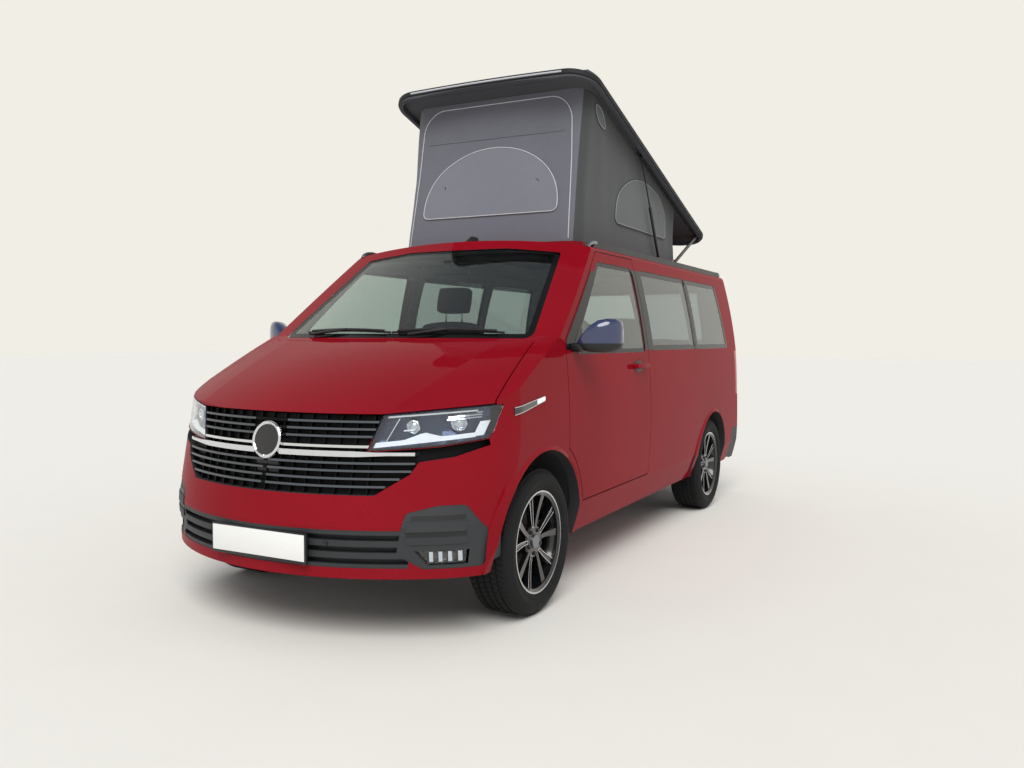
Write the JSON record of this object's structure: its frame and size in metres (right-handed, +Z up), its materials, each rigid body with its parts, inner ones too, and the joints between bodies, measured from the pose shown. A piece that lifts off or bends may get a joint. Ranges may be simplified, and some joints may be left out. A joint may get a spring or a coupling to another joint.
{
  "type": "camper van",
  "caption": "Camper van with opening doors, bonnet and tailgate, steered wheels, and a pop-up roof that tilts up on rear arms and gas struts over fabric walls.",
  "frame": {"origin": "on the ground under the middle of the van", "axes": "+X forward, +Y to the left, +Z up"},
  "size_m": [4.8798, 2.2864, 2.8876],
  "materials": {
    "red_paint": "gloss metallic",
    "roof_paint": "gloss metallic",
    "dark_plastic": "fine grain",
    "grille_black": "gloss",
    "bright_strip": "polished",
    "lamp_clear": "clear",
    "lamp_red": "clear red",
    "window": "clear tinted",
    "rail_metal": "anodised",
    "underbody": "satin black",
    "exhaust_steel": "dull",
    "engine_iron": "as cast",
    "hub_iron": "machined",
    "trim_plastic": "grained",
    "seat_fabric": "woven",
    "galley_board": "laminate",
    "mirror_shell": "gloss",
    "tent_fabric": "woven, coated",
    "tyre_rubber": "matt",
    "rim_alloy": "machined and black",
    "link_steel": "satin black",
    "rod_steel": "polished"
  },
  "bodies": {
    "van": {"body_sides": "red_paint", "sliding_door": "red_paint", "roof_panel": "red_paint", "roof_rails": "rail_metal", "screen_frame": "red_paint", "front_wings": "red_paint", "front_bumper": "red_paint", "rear_bumper": "dark_plastic", "bumper_trim": "dark_plastic", "grille": "grille_black", "grille_chrome": "bright_strip", "headlamps": "lamp_clear", "tail_lamps": "lamp_red", "windscreen": "window", "side_glass": "window", "floor_pan": "underbody", "arch_liners": "dark_plastic", "fuel_tank": "underbody", "exhaust": "exhaust_steel", "rear_axle": "underbody", "front_suspension": "underbody", "engine_block": "engine_iron", "dashboard": "trim_plastic", "seats": "seat_fabric", "galley": "galley_board", "roof_tent": "tent_fabric"},
    "door_left": {"door_left": "red_paint", "door_glass_left": "window", "mirror_left": "mirror_shell"},
    "door_right": {"door_right": "red_paint", "door_glass_right": "window", "mirror_right": "mirror_shell"},
    "bonnet": {"bonnet": "red_paint"},
    "tailgate": {"tailgate": "red_paint", "tailgate_glass": "window"},
    "knuckle_left": {"knuckle_left": "hub_iron"},
    "knuckle_right": {"knuckle_right": "hub_iron"},
    "wheel_front_left": {"tyre_front_left": "tyre_rubber", "rim_front_left": "rim_alloy"},
    "wheel_front_right": {"tyre_front_right": "tyre_rubber", "rim_front_right": "rim_alloy"},
    "wheel_rear_left": {"tyre_rear_left": "tyre_rubber", "rim_rear_left": "rim_alloy"},
    "wheel_rear_right": {"tyre_rear_right": "tyre_rubber", "rim_rear_right": "rim_alloy"},
    "steering_wheel": {"steering_wheel": "trim_plastic"},
    "roof_arms": {"roof_arms": "link_steel"},
    "roof_shell": {"roof_shell": "roof_paint"},
    "strut_cases": {"strut_cases": "link_steel"},
    "strut_rods": {"strut_rods": "rod_steel"}
  },
  "joints": [
    {"name": "steer_left", "type": "hinge", "parent": "van", "child": "knuckle_left", "pos_m": [1.544, 0.725, 0.345], "axis": [0, 0, 1], "range_deg": [-38, 38]},
    {"name": "steer_right", "type": "hinge", "parent": "van", "child": "knuckle_right", "pos_m": [1.544, -0.725, 0.345], "axis": [0, 0, 1], "range_deg": [-38, 38]},
    {"name": "steering_wheel_turn", "type": "hinge", "parent": "van", "child": "steering_wheel", "pos_m": [0.785, 0.4, 1.045], "axis": [-0.8412, 0, 0.5408], "range_deg": [-540, 540]},
    {"name": "wheel_front_left_spin", "type": "hinge", "parent": "knuckle_left", "child": "wheel_front_left", "pos_m": [1.544, 0.814, 0.345], "axis": [0, 1, 0], "continuous": true},
    {"name": "wheel_front_right_spin", "type": "hinge", "parent": "knuckle_right", "child": "wheel_front_right", "pos_m": [1.544, -0.814, 0.345], "axis": [0, 1, 0], "continuous": true},
    {"name": "wheel_rear_left_spin", "type": "hinge", "parent": "van", "child": "wheel_rear_left", "pos_m": [-1.456, 0.814, 0.345], "axis": [0, 1, 0], "continuous": true},
    {"name": "wheel_rear_right_spin", "type": "hinge", "parent": "van", "child": "wheel_rear_right", "pos_m": [-1.456, -0.814, 0.345], "axis": [0, 1, 0], "continuous": true},
    {"name": "door_left_swing", "type": "hinge", "parent": "van", "child": "door_left", "pos_m": [1.271, 0.951, 0.9], "axis": [0, 0, -1], "range_deg": [0, 65]},
    {"name": "door_right_swing", "type": "hinge", "parent": "van", "child": "door_right", "pos_m": [1.271, -0.951, 0.9], "axis": [0, 0, 1], "range_deg": [0, 65]},
    {"name": "bonnet_lift", "type": "hinge", "parent": "van", "child": "bonnet", "pos_m": [1.42, 0, 1.293], "axis": [0, -1, 0], "range_deg": [0, 52]},
    {"name": "tailgate_lift", "type": "hinge", "parent": "van", "child": "tailgate", "pos_m": [-2.319, 0, 1.863], "axis": [0, 1, 0], "range_deg": [0, 85]},
    {"name": "roof_arm_swing", "type": "hinge", "parent": "van", "child": "roof_arms", "pos_m": [-1.33, 0, 1.9], "axis": [0, 1, 0], "range_deg": [-26.27, 0.3]},
    {"name": "roof_close", "type": "hinge", "parent": "roof_arms", "child": "roof_shell", "pos_m": [-1.898, 0, 2.15], "axis": [0, 1, 0], "range_deg": [0, 42.43], "deforming": ["roof_tent"]},
    {"name": "strut_case_swing", "type": "hinge", "parent": "van", "child": "strut_cases", "pos_m": [-0.955, 0, 1.895], "axis": [0, 1, 0], "range_deg": [-0.3, 60.06]},
    {"name": "strut_rod_slide", "type": "slide", "parent": "strut_cases", "child": "strut_rods", "axis": [0.5192, 0, 0.8546], "range_m": [-0.3661, 0.001]}
  ],
  "couplings": [
    {"joint": "steer_right", "follows": "steer_left", "ratio": 1},
    {"joint": "steering_wheel_turn", "follows": "steer_left", "ratio": 14},
    {"joint": "roof_arm_swing", "follows": "roof_close", "ratio": -0.6121},
    {"joint": "strut_case_swing", "follows": "roof_close", "ratio": 1.4083},
    {"joint": "strut_rod_slide", "follows": "roof_close", "m_per_rad": -0.49293}
  ]
}
